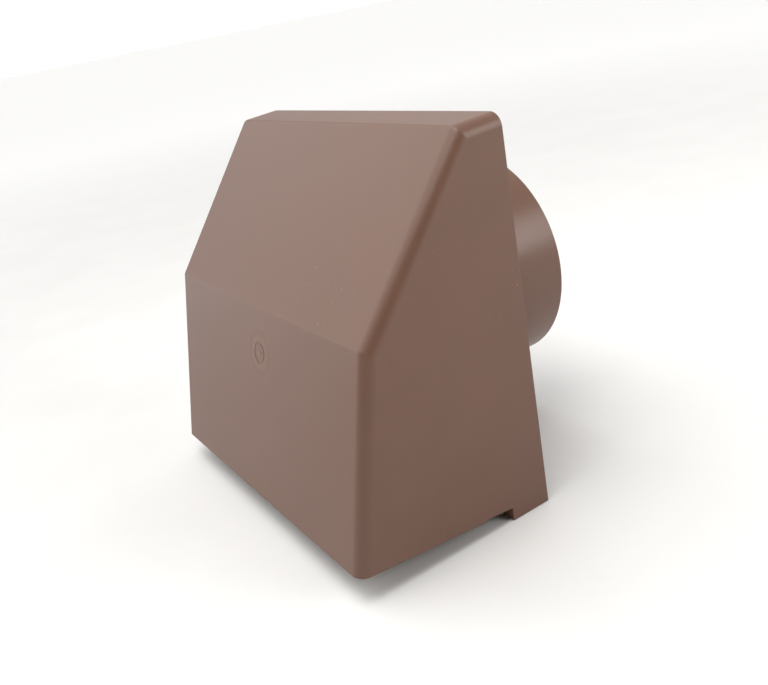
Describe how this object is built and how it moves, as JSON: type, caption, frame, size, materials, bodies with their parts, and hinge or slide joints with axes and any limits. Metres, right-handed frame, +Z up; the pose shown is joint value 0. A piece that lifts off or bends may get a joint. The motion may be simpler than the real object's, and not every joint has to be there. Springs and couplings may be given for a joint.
{
  "type": "cowl vent",
  "caption": "Wall cowl vent: sloping moulded hood open at the bottom, round duct spigot behind, gravity flap and grille inside.",
  "frame": {"origin": "where the duct spigot's axis meets the wall plane, at the back of the vent", "axes": "+Z up, +Y along the spigot into the wall, -Y out of the wall, +X across the vent's width"},
  "size_m": [0.17, 0.1434, 0.155],
  "materials": {
    "hood_plastic": "satin moulded, brown",
    "flap_plastic": "satin moulded, brown",
    "foam": "closed-cell foam",
    "rubber": "matt",
    "nylon": "natural",
    "stainless": "bright",
    "zinc_steel": "zinc plated",
    "screen_wire": "woven wire",
    "brass": "turned"
  },
  "bodies": {
    "housing": {"cowl_hood": "hood_plastic", "back_plate": "hood_plastic", "wall_gasket": "foam", "flap_seat_seal": "rubber", "flap_hinge_pin": "stainless", "pin_retaining_clips": "stainless", "flap_buffer_left": "rubber", "flap_buffer_right": "rubber", "bird_grille": "hood_plastic", "insect_screen": "screen_wire", "screen_frame": "hood_plastic", "grille_screws": "stainless", "hood_screws": "stainless", "hood_screw_washers": "nylon", "thread_inserts": "brass"},
    "flap": {"damper_flap": "flap_plastic", "flap_closing_weight": "zinc_steel", "flap_bush_left": "nylon", "flap_bush_right": "nylon"}
  },
  "joints": [
    {"name": "flap_swing", "type": "hinge", "parent": "housing", "child": "flap", "pos_m": [0, -0.00814, 0.05454], "axis": [-1, 0, 0], "range_deg": [0, 34]}
  ]
}
